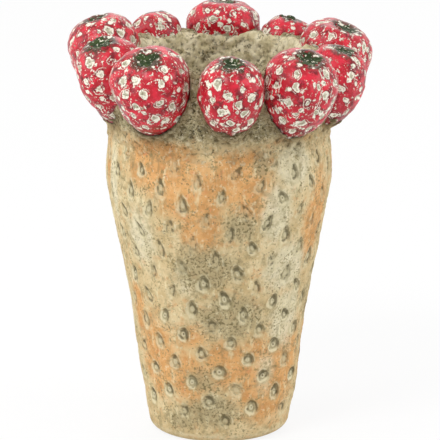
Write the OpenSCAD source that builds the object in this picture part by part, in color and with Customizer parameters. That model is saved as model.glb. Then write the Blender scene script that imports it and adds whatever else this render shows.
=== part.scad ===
// Strawberry jar planter: a tall fired-clay jar whose rim carries a thick clay collar,
// with ten oversize strawberries bedded round the open mouth. Millimetres, +Z up,
// origin at the middle of the foot, front towards -Y.

/* [Jar] */
// Height of the ledge that carries the collar
ledge_h = 280; // [270:1:300]
// Radius of the wall at the top of the rounded heel
heel_r = 62.5; // [58:0.5:68]
// Rounding between the foot and the wall
heel_round = 10.5; // [6:0.5:14]
// Height of the waist, where the wall starts to swell
waist_h = 115; // [90:1:130]
// Radius of the wall at the waist
waist_r = 78; // [74:0.5:82]
// Height at the middle of the swelling
swell_h = 185; // [165:1:200]
// Radius of the wall at the middle of the swelling
swell_r = 91; // [87:0.5:95]
// Height of the shoulder, the widest place
shoulder_h = 238; // [225:1:250]
// Radius of the shoulder
shoulder_r = 99.5; // [97:0.5:104]
// Radius of the wall at the ledge
ledge_r = 95; // [93:0.5:97]
// Thickness of the wall
wall_t = 9; // [6:0.5:11]
// Thickness of the floor
floor_t = 12; // [8:0.5:16]
// Radius of the drain hole
drain_r = 9; // [5:0.5:14]

/* [Neck] */
// Width of the flat ledge
ledge_w = 8; // [6:0.5:9]
// Height of the neck that centres the collar
neck_h = 16; // [10:1:18]
// Thickness of the neck
neck_t = 8; // [6:0.5:9]

/* [Collar] */
// Radius of the open mouth
mouth_r = 75.5; // [72:0.5:78]
// Radius of the collar's belly between the fruits
collar_r = 104; // [102:0.5:107]
// Height of the collar above the ledge
collar_h = 64; // [60:1:70]
// Height of the belly's middle above the ledge
belly_rise = 28; // [25:1:32]
// Rounding of the belly
belly_round = 16; // [14:0.5:18]
// Rounding of the roll along the top
roll_round = 12; // [10:0.5:14]
// How far the roll leans over the mouth
roll_overhang = 1; // [0.5:0.25:2]
// Clearance between luted pieces
slip_gap = 0.3; // [0.2:0.05:0.5]
// Least clay between the neck and the seats of the fruits
seat_clay = 4; // [3:0.5:6]
// Tilt of the flat seats from upright
seat_tilt = 17; // [14:1:20]
// Drop of the clay cup below the tip of its fruit
cup_drop = 3; // [2:0.5:5]

/* [Strawberries] */
// Direction of each fruit from the front, in degrees, positive to the right
fruit_turn = [5.5, -33.5, -71, -106.5, -145, 178, 145, 111, 76, 41]; // [-180:0.5:180]
// Distance of each fruit's middle from the jar's axis
fruit_ring = [106, 104, 99, 105, 98, 101, 99, 109, 103.5, 105]; // [96:0.5:112]
// Height of each fruit's widest level above the ledge
fruit_rise = [52, 51, 49, 57.5, 54, 56, 51, 50, 43.5, 48.5]; // [43:0.5:60]
// Width of each fruit
fruit_w = [56, 67, 58, 63, 48, 66, 44, 66, 55, 65]; // [42:0.5:70]
// Length of each fruit
fruit_l = [70, 86, 81, 72, 58, 68, 58, 68, 70, 81]; // [56:0.5:88]
// Outward lean of each fruit, in degrees
fruit_lean = [18, 30, 22, 20, 20, 6, 18, 24, 18, 26]; // [5:1:32]
// Direction in which each fruit leans, from straight outward, in degrees
fruit_swing = [0, 18, 12, 10, 0, 0, -45, -35, 0, 0]; // [-50:1:50]
// Share of the length that stands above the widest level
crown_share = 0.4; // [0.36:0.01:0.44]
// Fullness of the crown's shoulder, where 1 is a ball
crown_fullness = 0.82; // [0.75:0.01:0.9]
// Radius of each fruit's rounded tip
fruit_tip = [19, 19, 18, 20, 16, 21, 15, 20, 19, 20]; // [12:0.5:21]

/* [Calyxes] */
// Number of sepals
sepals = 5; // [4:1:7]
// Thickness of the sepals
sepal_t = 1.4; // [1:0.1:2]
// Reach of the sepals of each calyx
sepal_r = [12, 12.5, 13.5, 12, 10, 12.5, 9.5, 12.5, 12, 12.5]; // [8:0.5:15]
// Reach of the notches between the sepals, where 1 is the reach of the sepals
sepal_notch = 0.45; // [0.4:0.01:0.6]
// Depth of the stem dimple
dimple_depth = 4.5; // [3:0.25:6]
// Radius of the dimple's flat floor
dimple_floor_r = 4.5; // [3.5:0.25:5.5]
// Mouth of the dimple as a share of the fruit's half width
dimple_share = 0.3; // [0.27:0.01:0.33]

/* [Pits] */
// Distance between the pits in the jar's wall
pit_spacing = 26; // [24:1:34]
// Radius of a pit in the jar's wall
pit_r = 4.5; // [3:0.25:6]
// Depth of a pit in the jar's wall
pit_depth = 1.8; // [1:0.1:2.5]
// Radius of the narrow upper end of a pit
pit_tail_r = 2.6; // [1.5:0.1:3.5]
// Depth of the narrow upper end of a pit
pit_tail_depth = 1.1; // [0.6:0.1:1.5]
// How far the narrow end lies above the middle of a pit, at the foot and at the shoulder
pit_tail_rise = [2.6, 5]; // [1:0.1:7]
// Distance between the seed pits of a fruit
seed_spacing = 16; // [14:0.5:20]
// Radius of a seed pit
seed_r = 3.6; // [2.5:0.1:4.5]
// Depth of a seed pit
seed_depth = 1.1; // [0.7:0.1:1.5]

/* [Hidden] */
FRUITS = [for (i = [0:len(fruit_turn) - 1]) i];
function two_digits(n) = str(n < 10 ? "0" : "", n);
function fruit_node(i) = str("strawberry_", two_digits(i + 1));
function calyx_node(i) = str("calyx_", two_digits(i + 1));

GOLDEN_ANGLE = 137.508;
clay = "#C9AE82";
ash_clay = "#B3A888";
glaze_red = "#C8233A";
leaf_green = "#2F4A26";
$fn = 48;
// Longer than anything here, for half planes and half spaces
far = 400;
// How far one arc of an outline sinks into the next, so that they cross and don't only touch
weld = 0.1;

neck_r = ledge_r - ledge_w;
bore_r = neck_r + slip_gap;
bore_top = ledge_h + neck_h + slip_gap;
collar_top = ledge_h + collar_h;
foot_r = heel_r - heel_round;

// ---- Wall of the jar: height, radius and slope where the curve is set ----
wall_marks = [
  [heel_round, heel_r, 0.2],
  [waist_h, waist_r, 0.16],
  [swell_h, swell_r, 0.23],
  [shoulder_h, shoulder_r, 0],
  [ledge_h, ledge_r, -0.17]
];
function stretch_at(z, i = 0) =
  i == len(wall_marks) - 2 || z < wall_marks[i + 1][0] ? i : stretch_at(z, i + 1);
function smooth_wall(a, b, t) =
  let (run = b[0] - a[0])
  (2 * t^3 - 3 * t^2 + 1) * a[1] + (t^3 - 2 * t^2 + t) * run * a[2]
  + (3 * t^2 - 2 * t^3) * b[1] + (t^3 - t^2) * run * b[2];
function wall_at(z) =
  let (i = stretch_at(z), a = wall_marks[i], b = wall_marks[i + 1])
  smooth_wall(a, b, (z - a[0]) / (b[0] - a[0]));
function wall_lean(z) = atan(wall_at(z + 0.5) - wall_at(z - 0.5));
function steps(low, high, count) = [for (k = [0:count]) low + (high - low) * k / count];

// ---- Ball that presses a round pit of a given mouth and depth ----
function ball_r(mouth, depth) = (mouth^2 + depth^2) / (2 * depth);

module pit_ball(r, z, lean, mouth, depth) {
  ball = ball_r(mouth, depth);
  translate([r, 0, z]) rotate([0, -lean, 0]) translate([ball - depth, 0, 0]) sphere(r = ball, $fn = 24);
}

// ---- Jar ----
module jar_outline() {
  hollow_top = ledge_h - ledge_w;
  heel = [for (a = steps(-90, -15, 5)) [foot_r + heel_round * cos(a), heel_round + heel_round * sin(a)]];
  outside = [for (z = steps(heel_round, ledge_h, 16)) [wall_at(z), z]];
  neck = [[neck_r, ledge_h], [neck_r, ledge_h + neck_h], [neck_r - neck_t, ledge_h + neck_h]];
  neck_foot = [[neck_r - neck_t, ledge_h + 4]];
  inside = [for (z = steps(hollow_top, floor_t + heel_round, 12)) [wall_at(z) - wall_t, z]];
  hollow_heel = [
    [wall_at(floor_t + 3) - wall_t - 4, floor_t + 3],
    [wall_at(floor_t) - wall_t - heel_round, floor_t]
  ];
  middle = [[drain_r, floor_t], [drain_r, 0]];
  polygon(concat(heel, outside, neck, neck_foot, inside, hollow_heel, middle));
}

// The pits wind up the wall by the golden angle, evenly by area, each like a drop with its narrow end up
module wall_pits() {
  low = heel_round + pit_r + 4;
  high = ledge_h - pit_tail_rise[1] - pit_tail_r - 5;
  low_r = wall_at(low);
  gain = (wall_at(high) - low_r) / (high - low);
  span = high - low;
  area = 360 * PI / 180 * (low_r * span + gain * span^2 / 2);
  count = floor(area / (pit_spacing^2 * sqrt(3) / 2));
  for (k = [0:count - 1]) {
    part = (k + 0.5) / count * (low_r * span + gain * span^2 / 2);
    z = low + (sqrt(low_r^2 + 2 * gain * part) - low_r) / gain;
    tail_z = z + pit_tail_rise[0] + (pit_tail_rise[1] - pit_tail_rise[0]) * (z - low) / span;
    rotate([0, 0, k * GOLDEN_ANGLE]) {
      pit_ball(wall_at(z), z, -wall_lean(z), pit_r, pit_depth);
      pit_ball(wall_at(tail_z), tail_z, -wall_lean(tail_z), pit_tail_r, pit_tail_depth);
    }
  }
}

module jar_body() {
  color(clay) difference() {
    rotate([0, 0, 20]) rotate_extrude($fn = 96) jar_outline();
    wall_pits();
  }
}

// ---- Strawberry: crown arc, short belt, side arc and tip arc ----
function half_w(i) = fruit_w[i] / 2;
function crown_h(i) = crown_share * fruit_l[i];
function crown_round(i) = crown_fullness * min(half_w(i), crown_h(i));
function belt_h(i) = crown_h(i) - crown_round(i);
function tip_reach(i) = (1 - crown_share) * fruit_l[i] - fruit_tip[i];
function side_r(i) = (half_w(i)^2 + tip_reach(i)^2 - fruit_tip[i]^2) / (2 * (half_w(i) - fruit_tip[i]));
function side_end(i) = atan2(tip_reach(i), side_r(i) - half_w(i));

module fruit_outline(i, grow) {
  crown_mid = half_w(i) - crown_round(i);
  side_mid = half_w(i) - side_r(i);
  ray = [cos(side_end(i)), -sin(side_end(i))];
  intersection() {
    translate([0, -far / 2]) square(far);
    union() {
      translate([crown_mid, belt_h(i)]) circle(r = crown_round(i) + grow);
      translate([0, -tip_reach(i) - weld]) circle(r = fruit_tip[i] + grow);
    }
  }
  square([crown_mid, crown_h(i) + grow]);
  square([half_w(i) + grow - weld, belt_h(i)]);
  intersection() {
    translate([side_mid, 0]) circle(r = side_r(i) + grow);
    polygon([[0, belt_h(i)], [far, belt_h(i)], [side_mid, 0] + far * ray, [0, -tip_reach(i)]]);
  }
}

module fruit_form(i, grow = 0) {
  rotate([0, 0, 70]) rotate_extrude() fruit_outline(i, grow);
}

// Skin of the fruit at a height: radius and direction of the normal
function fruit_skin(i, z) =
  z > belt_h(i) ? let (a = asin((z - belt_h(i)) / crown_round(i)))
    [half_w(i) - crown_round(i) * (1 - cos(a)), a]
  : z > 0 ? [half_w(i), 0]
  : z > -side_r(i) * sin(side_end(i)) ? let (a = asin(z / side_r(i)))
    [half_w(i) - side_r(i) * (1 - cos(a)), a]
  : let (a = asin((z + tip_reach(i)) / fruit_tip[i])) [fruit_tip[i] * cos(a), a];

// Puts a fruit upright at the origin into its place on the ring
module to_ring(i) {
  rotate([0, 0, fruit_turn[i] - 90])
    translate([fruit_ring[i], 0, ledge_h + fruit_rise[i]])
      rotate([0, 0, fruit_swing[i]]) rotate([0, fruit_lean[i], 0]) rotate([0, 0, -fruit_swing[i]])
        children();
}

// The space outside the flat seat of a fruit
module before_seat(i) {
  rotate([0, 0, fruit_turn[i] - 90])
    translate([bore_r + seat_clay, 0, bore_top])
      rotate([0, -seat_tilt, 0])
        translate([0, -far / 4, -far / 4])
          cube([far / 4, far / 2, far / 2]);
}

module stem_dimple(i) {
  mouth = dimple_share * half_w(i);
  slope = (mouth - dimple_floor_r) / dimple_depth;
  translate([0, 0, crown_h(i) - dimple_depth])
    cylinder(h = 2 * dimple_depth, r1 = dimple_floor_r, r2 = dimple_floor_r + 2 * dimple_depth * slope);
}

// Seed pits by the golden angle, left out where the calyx or the clay covers the skin
module seed_pits(i) {
  low = -0.94 * (1 - crown_share) * fruit_l[i];
  high = crown_h(i);
  count = floor(2 * PI * half_w(i) * (high - low) / (seed_spacing^2 * sqrt(3) / 2));
  clear_r = sepal_r[i] + seed_r;
  for (k = [0:count - 1]) {
    z = high - (high - low) * (k + 0.5) / count;
    turn = k * GOLDEN_ANGLE + 36 * i;
    skin = fruit_skin(i, z);
    crowned = z > 0 && skin[0] < clear_r;
    bedded = cos(turn) < -0.3 && z < 0.3 * high;
    if (!crowned && !bedded)
      rotate([0, 0, turn]) pit_ball(skin[0], z, skin[1], seed_r, seed_depth);
  }
}

module strawberry(i) {
  color(glaze_red) difference() {
    intersection() {
      to_ring(i) fruit_form(i);
      before_seat(i);
    }
    to_ring(i) stem_dimple(i);
    to_ring(i) seed_pits(i);
  }
}

// ---- Calyx: star of sepals pressed into the stem dimple ----
// The section runs a little past the tips of the star
module calyx_section(i) {
  rim = sepal_r[i] + 1;
  mouth = dimple_share * half_w(i);
  low = crown_h(i) - dimple_depth;
  edge = crown_h(i) + 0.3;
  drop = fruit_drop(i, rim);
  polygon([
    [0, low], [dimple_floor_r - 0.4, low], [mouth - 0.4, edge], [rim, edge - drop],
    [rim, edge - drop + 0.8], [mouth, edge + sepal_t], [mouth - 0.8, edge + sepal_t],
    [dimple_floor_r - 1, low + sepal_t], [0, low + sepal_t]
  ]);
}

// Fall of the crown from its top to a radius
function fruit_drop(i, r) =
  crown_round(i) - sqrt(crown_round(i)^2 - max(0, r - half_w(i) + crown_round(i))^2);

module calyx(i) {
  star = [for (k = [0:2 * sepals - 1])
    let (a = 180 * k / sepals)
    sepal_r[i] * (k % 2 == 0 ? 1 : sepal_notch) * [cos(a), sin(a)]];
  color(leaf_green) to_ring(i) rotate([0, 0, 50 * i]) intersection() {
    rotate([0, 0, 18]) rotate_extrude() calyx_section(i);
    linear_extrude(far) polygon(star);
  }
}

// ---- Collar ----
module collar_outline() {
  belly = [collar_r - belly_round, ledge_h + belly_rise];
  roll = [mouth_r - roll_overhang + roll_round, collar_top - roll_round];
  translate(belly) circle(r = belly_round);
  translate(roll) circle(r = roll_round);
  polygon([
    [bore_r, ledge_h], [ledge_r, ledge_h], [ledge_r + 3, ledge_h + 6],
    belly + belly_round * [cos(-35), sin(-35)], belly + belly_round * [cos(5), sin(5)],
    roll + roll_round * [cos(5), sin(5)], roll, [mouth_r, roll[1]], [mouth_r, bore_top], [bore_r, bore_top]
  ]);
}

module bedding_collar() {
  color(ash_clay) difference() {
    union() {
      rotate([0, 0, -66]) rotate_extrude($fn = 96) collar_outline();
      for (i = FRUITS)
        to_ring(i) translate([-cup_drop, 0, -tip_reach(i) - cup_drop]) sphere(r = fruit_tip[i] + cup_drop);
    }
    for (i = FRUITS)
      intersection() {
        to_ring(i) fruit_form(i, slip_gap);
        before_seat(i);
      }
    cylinder(h = ledge_h, r = far);
    cylinder(h = bore_top, r = bore_r);
    cylinder(h = far, r = mouth_r);
  }
}

jar_body();
bedding_collar();
for (i = FRUITS) {
  strawberry(i);
  calyx(i);
}
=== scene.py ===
# %% [markdown]
# # A strawberry jar planter
# A tall clay jar, pressed all over with small pits like the skin of a strawberry, carries a thick
# rough clay collar on its rim. Ten oversize strawberries are bedded in the collar round the open mouth.
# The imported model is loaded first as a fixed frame. Each of its solids is then replaced by a piece
# with a finer skin that sits in the same place. All sizes below are millimetres until the last moment.

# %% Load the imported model
import math
from contextlib import contextmanager

import bpy
import numpy as np
from mathutils import Matrix, Vector, noise


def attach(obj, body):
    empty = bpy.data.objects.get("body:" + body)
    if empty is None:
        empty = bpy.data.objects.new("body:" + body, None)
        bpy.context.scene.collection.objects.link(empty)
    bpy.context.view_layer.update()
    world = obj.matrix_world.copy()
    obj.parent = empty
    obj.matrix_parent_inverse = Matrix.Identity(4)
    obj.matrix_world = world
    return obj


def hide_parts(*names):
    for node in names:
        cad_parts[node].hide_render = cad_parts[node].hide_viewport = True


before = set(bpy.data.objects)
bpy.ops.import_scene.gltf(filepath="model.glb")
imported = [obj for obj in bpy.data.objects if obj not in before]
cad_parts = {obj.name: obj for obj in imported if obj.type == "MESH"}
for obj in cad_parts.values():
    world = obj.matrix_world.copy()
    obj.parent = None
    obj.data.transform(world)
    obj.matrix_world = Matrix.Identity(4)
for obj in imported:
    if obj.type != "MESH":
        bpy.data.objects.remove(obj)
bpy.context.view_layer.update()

MM = 0.001
print("loaded", len(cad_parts), "nodes")

# %% [markdown]
# ## Camera
# The jar was photographed from far off with a long lens, from about 16 degrees above the level of its
# waist. A short lens close by would splay the fruits, so the camera stands 4.5 m away and the lens is long.

# %% Camera
VIEW_DISTANCE = 4.5
VIEW_RISE = math.radians(15.6)
aim = Vector((0.0009, 0, 0.1885))
camera = bpy.data.objects.new("camera", bpy.data.cameras.new("camera"))
bpy.context.scene.collection.objects.link(camera)
camera.data.sensor_width = 36
camera.data.lens = 416
camera.data.clip_end = 60
camera.location = aim + VIEW_DISTANCE * Vector((0, -math.cos(VIEW_RISE), math.sin(VIEW_RISE)))
camera.rotation_euler = (math.pi / 2 - VIEW_RISE, 0, 0)
bpy.context.scene.camera = camera
print("camera at", tuple(round(v, 2) for v in camera.location))

# %% [markdown]
# ## Sizes
# These are the sizes of the solids, repeated here so that each new skin follows its solid: the curve of
# the wall, the flat ledge and neck that carry the collar, and the width, length and lean of each fruit.

# %% Sizes of the jar and the collar
FOOT_R, HEEL_ROUND = 52.0, 10.5
LEDGE_H, LEDGE_R, NECK_H, NECK_R, NECK_T = 280.0, 95.0, 16.0, 87.0, 8.0
WALL_T, FLOOR_T, DRAIN_R = 9.0, 12.0, 9.0
WALL_MARKS = [(10.5, 62.5, 0.2), (115, 78, 0.16), (185, 91, 0.23), (238, 99.5, 0), (280, 95, -0.17)]
MOUTH_R, COLLAR_R, COLLAR_TOP = 75.5, 104.0, 344.0
BELLY_RISE, BELLY_ROUND, ROLL_ROUND, LAP_DOWN = 28, 16, 12, 22
BORE_R, BORE_TOP = 87.3, 296.3
SLIP_GAP, SEAT_CLAY, SEAT_TILT, CUP_DROP = 0.3, 4.0, 17.0, 3.0
PIT_SPACING, PIT_LOW, PIT_HIGH, SEED_SPACING, SEED_R = 26.0, 19.0, 267.4, 16.0, 3.6
GOLDEN_ANGLE = 137.508


def wall_radius(z):
    """Radius of the wall at a height, by smooth curves between the marks."""
    z = np.clip(np.asarray(z, float), WALL_MARKS[0][0], WALL_MARKS[-1][0])
    radius = np.zeros_like(z)
    for (z0, r0, s0), (z1, r1, s1) in zip(WALL_MARKS, WALL_MARKS[1:]):
        t, run = np.clip((z - z0) / (z1 - z0), 0, 1), z1 - z0
        curve = ((2 * t**3 - 3 * t**2 + 1) * r0 + (t**3 - 2 * t**2 + t) * run * s0
                 + (3 * t**2 - 2 * t**3) * r1 + (t**3 - t**2) * run * s1)
        radius = np.where((z >= z0) & (z <= z1), curve, radius)
    return radius


print("wall at the shoulder:", float(wall_radius(238)), "mm")

# %% Sizes of the fruits
FRUIT_TURN = [5.5, -33.5, -71, -106.5, -145, 178, 145, 111, 76, 41]
FRUIT_RING = [106, 104, 99, 105, 98, 101, 99, 109, 103.5, 105]
FRUIT_RISE = [52, 51, 49, 57.5, 54, 56, 51, 50, 43.5, 48.5]
FRUIT_W = [56, 67, 58, 63, 48, 66, 44, 66, 55, 65]
FRUIT_L = [70, 86, 81, 72, 58, 68, 58, 68, 70, 81]
FRUIT_LEAN = [18, 30, 22, 20, 20, 6, 18, 24, 18, 26]
FRUIT_SWING = [0, 18, 12, 10, 0, 0, -45, -35, 0, 0]
FRUIT_TIP = [19, 19, 18, 20, 16, 21, 15, 20, 19, 20]
SEPAL_R = [12, 12.5, 13.5, 12, 10, 12.5, 9.5, 12.5, 12, 12.5]
# How far the soft clay lets the tip of each fruit sink, and how softly its inner side is flattened: the
# softness starts SEAT_EDGE outside the seat, and grows by DEEP_GIVE between two heights, inside the clay
FRUIT_SINK = [0, 0, 2.5, 0, 0, 0, 0, 0, 2, 1.5]
SEAT_GIVE = [3.2, 3.2, 4, 6.5, 7, 7.5, 7, 5, 4, 3.2]
SEAT_EDGE, DEEP_GIVE, DEEP_FROM, DEEP_TO = 2, 2.5, 314, 294
FRUITS = range(10)
CROWN_SHARE, CROWN_FULLNESS, DIMPLE_DEPTH, DIMPLE_SHARE = 0.4, 0.82, 4.5, 0.38


class Fruit:
    """The arcs that shape one fruit, upright, with the origin at its widest level."""

    def __init__(self, i):
        self.half_w = FRUIT_W[i] / 2
        self.crown_h = CROWN_SHARE * FRUIT_L[i]
        self.low = self.crown_h - FRUIT_L[i]
        self.crown_round = CROWN_FULLNESS * min(self.half_w, self.crown_h)
        self.belt_h = self.crown_h - self.crown_round
        self.tip = FRUIT_TIP[i]
        self.reach = -self.low - self.tip
        self.side_r = (self.half_w**2 + self.reach**2 - self.tip**2) / (2 * (self.half_w - self.tip))
        self.side_end = math.atan2(self.reach, self.side_r - self.half_w)
        outward = Matrix.Rotation(math.radians(FRUIT_TURN[i] - 90), 4, "Z")
        moved = Matrix.Translation((FRUIT_RING[i] * MM, 0, (LEDGE_H + FRUIT_RISE[i]) * MM))
        swing = Matrix.Rotation(math.radians(FRUIT_SWING[i]), 4, "Z")
        lean = Matrix.Rotation(math.radians(FRUIT_LEAN[i]), 4, "Y")
        self.place = outward @ moved @ swing @ lean @ swing.inverted()

    def outline(self, spacing, grow=0.0):
        """Points from the middle of the crown to the tip, evenly spaced."""
        mid, side_mid = self.half_w - self.crown_round, self.half_w - self.side_r
        arcs = [(0, self.crown_h + grow)]
        for a in np.linspace(math.pi / 2, 0, 60):
            round_r = self.crown_round + grow
            arcs.append((mid + round_r * math.cos(a), self.belt_h + round_r * math.sin(a)))
        for a in np.linspace(0, self.side_end, 60):
            arcs.append((side_mid + (self.side_r + grow) * math.cos(a), -(self.side_r + grow) * math.sin(a)))
        for a in np.linspace(self.side_end, math.pi / 2, 30)[1:]:
            arcs.append(((self.tip + grow) * math.cos(a), -self.reach - (self.tip + grow) * math.sin(a)))
        arcs = np.array(arcs)
        run = np.concatenate([[0], np.cumsum(np.hypot(*np.diff(arcs, axis=0).T))])
        even = np.linspace(0, run[-1], int(run[-1] / spacing))
        line = np.c_[np.interp(even, run, arcs[:, 0]), np.interp(even, run, arcs[:, 1])]
        line[-1, 0] = 0
        return line

    def skin(self, z):
        """Radius of the skin at a height."""
        if z > self.belt_h:
            a = math.asin(min(1, (z - self.belt_h) / self.crown_round))
            return self.half_w - self.crown_round * (1 - math.cos(a))
        if z > 0:
            return self.half_w
        if z > -self.side_r * math.sin(self.side_end):
            return self.half_w - self.side_r * (1 - math.cos(math.asin(z / self.side_r)))
        return self.tip * math.cos(math.asin(max(-1, (z + self.reach) / self.tip)))

    def crown_at(self, r):
        """Height of the crown at a distance from the stem, with the stem dimple pressed in."""
        over = np.clip((r - self.half_w + self.crown_round) / self.crown_round, 0, 0.999)
        top = self.belt_h + self.crown_round * np.sqrt(1 - over**2)
        return top - self.dimple(r)

    def dimple(self, r):
        """Depth of the stem dimple at a distance from the stem."""
        mouth = DIMPLE_SHARE * self.half_w
        return DIMPLE_DEPTH * (1 - np.clip(r / mouth, 0, 1) ** 2) ** 1.5


fruits = [Fruit(i) for i in FRUITS]
print("fruits", [round(f.half_w * 2) for f in fruits], "mm wide")

# %% [markdown]
# ## Helpers for the potter's wheel
# The jar, the collar ring and the fruits are all turned forms. A turned form is one line of points,
# drawn by extruding a single corner again and again, and spun once round the axis. Spin leaves the last
# row lying on the first and can turn the faces inwards, so doubles are merged and normals made again.

# %% Helpers: select, turn on the wheel, apply a modifier


def only(piece):
    bpy.ops.object.select_all(action="DESELECT")
    piece.select_set(True)
    bpy.context.view_layer.objects.active = piece


@contextmanager
def editing(piece, select="SELECT"):
    """Opens a mesh for editing with all of it selected, or none ("DESELECT"), or as it was (None)."""
    only(piece)
    bpy.ops.object.mode_set(mode="EDIT")
    if select:
        bpy.ops.mesh.select_all(action=select)
    yield
    bpy.ops.object.mode_set(mode="OBJECT")


def turned(name, outline, steps):
    """Extrudes one corner along the outline (radius, height) and spins it round the axis."""
    bpy.ops.mesh.primitive_plane_add(size=MM)
    piece = bpy.context.object
    piece.name = name
    with editing(piece):
        bpy.ops.mesh.merge(type="CENTER")
        bpy.ops.transform.translate(value=(outline[0][0] * MM, 0, outline[0][1] * MM))
        for (r0, z0), (r1, z1) in zip(outline, outline[1:]):
            step = {"value": ((r1 - r0) * MM, 0, (z1 - z0) * MM)}
            bpy.ops.mesh.extrude_region_move(TRANSFORM_OT_translate=step)
        bpy.ops.mesh.select_all(action="SELECT")
        bpy.ops.mesh.spin(steps=steps, angle=math.tau, center=(0, 0, 0), axis=(0, 0, 1))
        bpy.ops.mesh.select_all(action="SELECT")
        bpy.ops.mesh.remove_doubles(threshold=0.02 * MM)
        bpy.ops.mesh.normals_make_consistent(inside=False)
    return piece


def apply_modifier(piece, kind, **settings):
    only(piece)
    modifier = piece.modifiers.new(kind.title(), kind)
    for name, value in settings.items():
        setattr(modifier, name, value)
    bpy.ops.object.modifier_apply(modifier=modifier.name)


def put(piece, place):
    """Places a piece and then applies the place to its mesh, so that its object stays at the origin."""
    only(piece)
    piece.matrix_world = place
    bpy.ops.object.transform_apply(location=True, rotation=True, scale=True)


def cut(piece, point, normal, keep="front"):
    """Slices a piece by a plane, drops one side and closes the cut."""
    with editing(piece):
        bpy.ops.mesh.bisect(plane_co=point, plane_no=normal, use_fill=True,
                            clear_inner=keep == "front", clear_outer=keep == "back")


def drop_crumbs(piece):
    """Keeps the largest connected part of a piece and removes the loose crumbs that cuts leave."""
    name = piece.name
    with editing(piece):
        bpy.ops.mesh.separate(type="LOOSE")
    parts = sorted(bpy.context.selected_objects, key=lambda part: len(part.data.vertices))
    for crumb in parts[:-1]:
        bpy.data.objects.remove(crumb)
    parts[-1].name = name
    return parts[-1]


def dissolve_flaps(piece):
    """Dissolves points with two edges only, where triangles would fold flat onto each other."""
    ends = np.empty(2 * len(piece.data.edges), dtype=np.int32)
    piece.data.edges.foreach_get("vertices", ends)
    lonely = np.bincount(ends, minlength=len(piece.data.vertices)) == 2
    with editing(piece, "DESELECT"):
        bpy.ops.mesh.select_mode(type="VERT")
    piece.data.vertices.foreach_set("select", lonely)
    with editing(piece, None):
        bpy.ops.mesh.dissolve_verts()
    print("flaps dissolved:", int(lonely.sum()))


def seat_plane(i, out=0.0):
    """A point and the outward normal of the flat seat of a fruit, moved outwards by some millimetres."""
    turn, tilt = math.radians(FRUIT_TURN[i] - 90), math.radians(SEAT_TILT)
    outward = Vector((math.cos(turn), math.sin(turn), 0))
    normal = outward * math.cos(tilt) + Vector((0, 0, math.sin(tilt)))
    point = outward * (BORE_R + SEAT_CLAY) * MM + Vector((0, 0, BORE_TOP * MM))
    return point + normal * out * MM, normal


print("wheel helpers ready")

# %% Helpers: read and move the points of a mesh, and store a value on each


def points_of(piece):
    flat = np.empty(len(piece.data.vertices) * 3)
    piece.data.vertices.foreach_get("co", flat)
    return flat.reshape(-1, 3) / MM


def normals_of(piece):
    flat = np.empty(len(piece.data.vertices) * 3)
    piece.data.vertex_normals.foreach_get("vector", flat)
    return flat.reshape(-1, 3)


def move_points(piece, points):
    piece.data.vertices.foreach_set("co", (points * MM).ravel())
    piece.data.update()


def store(piece, name, values):
    layer = piece.data.attributes.new(name=name, type="FLOAT", domain="POINT")
    layer.data.foreach_set("value", np.asarray(values, np.float32))


def lumps(points, size, shift=0.0):
    """Smooth noise from -1 to 1 whose lumps are about one size apart."""
    return np.array([noise.noise(Vector(p)) for p in points / size + shift])


def ramp(x, low, high):
    """0 below low and 1 above high, smooth between. Low may be above high."""
    t = np.clip((np.asarray(x, float) - low) / (high - low), 0, 1)
    return t * t * (3 - 2 * t)


def smoothed(piece, values, rounds):
    """The values after each point has taken the mean of its neighbours, some rounds over."""
    edges = np.empty(len(piece.data.edges) * 2, np.int64)
    piece.data.edges.foreach_get("vertices", edges)
    a, b = edges.reshape(-1, 2).T
    count = np.bincount(a, minlength=len(values)) + np.bincount(b, minlength=len(values))
    for _ in range(rounds):
        total = np.zeros_like(values)
        np.add.at(total, a, values[b])
        np.add.at(total, b, values[a])
        values = total / np.maximum(count, 1)[:, None]
    return values


def volume_of(piece):
    """Volume inside a closed mesh in cubic millimetres."""
    piece.data.calc_loop_triangles()
    corners = np.array([t.vertices for t in piece.data.loop_triangles])
    a, b, c = points_of(piece)[corners].transpose(1, 0, 2)
    return float((np.cross(a, b) * c).sum() / 6)


def hollow(piece, rounds, depth):
    """How far each point lies below the mean of its surroundings, from -1 on ridges to 1 in creases."""
    points = points_of(piece)
    below = smoothed(piece, points, rounds) - points
    return np.clip((below * normals_of(piece)).sum(1) / depth, -1, 1)


def fruit_distance(points):
    """Rough distance of points outside the fruits from the nearest flattened skin, up to 40 mm."""
    best = np.full(len(points), 40.0)
    for i, fruit in enumerate(fruits):
        local = np.c_[points * MM, np.ones(len(points))] @ np.array(fruit.place.inverted()).T / MM
        close = np.flatnonzero(np.linalg.norm(local[:, :3], axis=1) < 85)
        r, z = np.hypot(local[close, 0], local[close, 1]), local[close, 2]
        line, gap = fruit.outline(2.0), np.full(len(close), 40.0)
        for r0, z0 in line:
            gap = np.minimum(gap, np.hypot(r - r0, z - z0))
        gap[r < np.interp(z, line[::-1, 1], line[::-1, 0], left=0, right=0)] = 0
        point, normal = seat_plane(i)
        behind = np.maximum(-1 - (points[close] - np.array(point) / MM) @ np.array(normal), 0)
        best[close] = np.minimum(best[close], np.hypot(gap, behind))
    return best


def finish(piece, slot, *nodes, smooth):
    """Shades a piece smooth, rides it on the one body and lets it stand for its solids."""
    only(piece)
    bpy.ops.object.shade_smooth_by_angle(angle=math.radians(smooth))
    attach(piece, "root")
    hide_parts(*nodes)
    print(piece.name, len(piece.data.vertices), "points")


print("mesh helpers ready")

# %% [markdown]
# ## The jar
# A real jar of this kind is thrown or moulded, and its pits are pressed into the damp wall with a small
# tool. The wall is turned from a line whose points lie 1.6 mm apart, so that a pit 10 mm across has enough
# points for its bowl and the little seed in its middle. The pits follow the same golden angle as the pits
# of the solid, and each one then gets its own size, tilt and depth: round near the foot, tall drops above.

# %% Turn the jar


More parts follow.
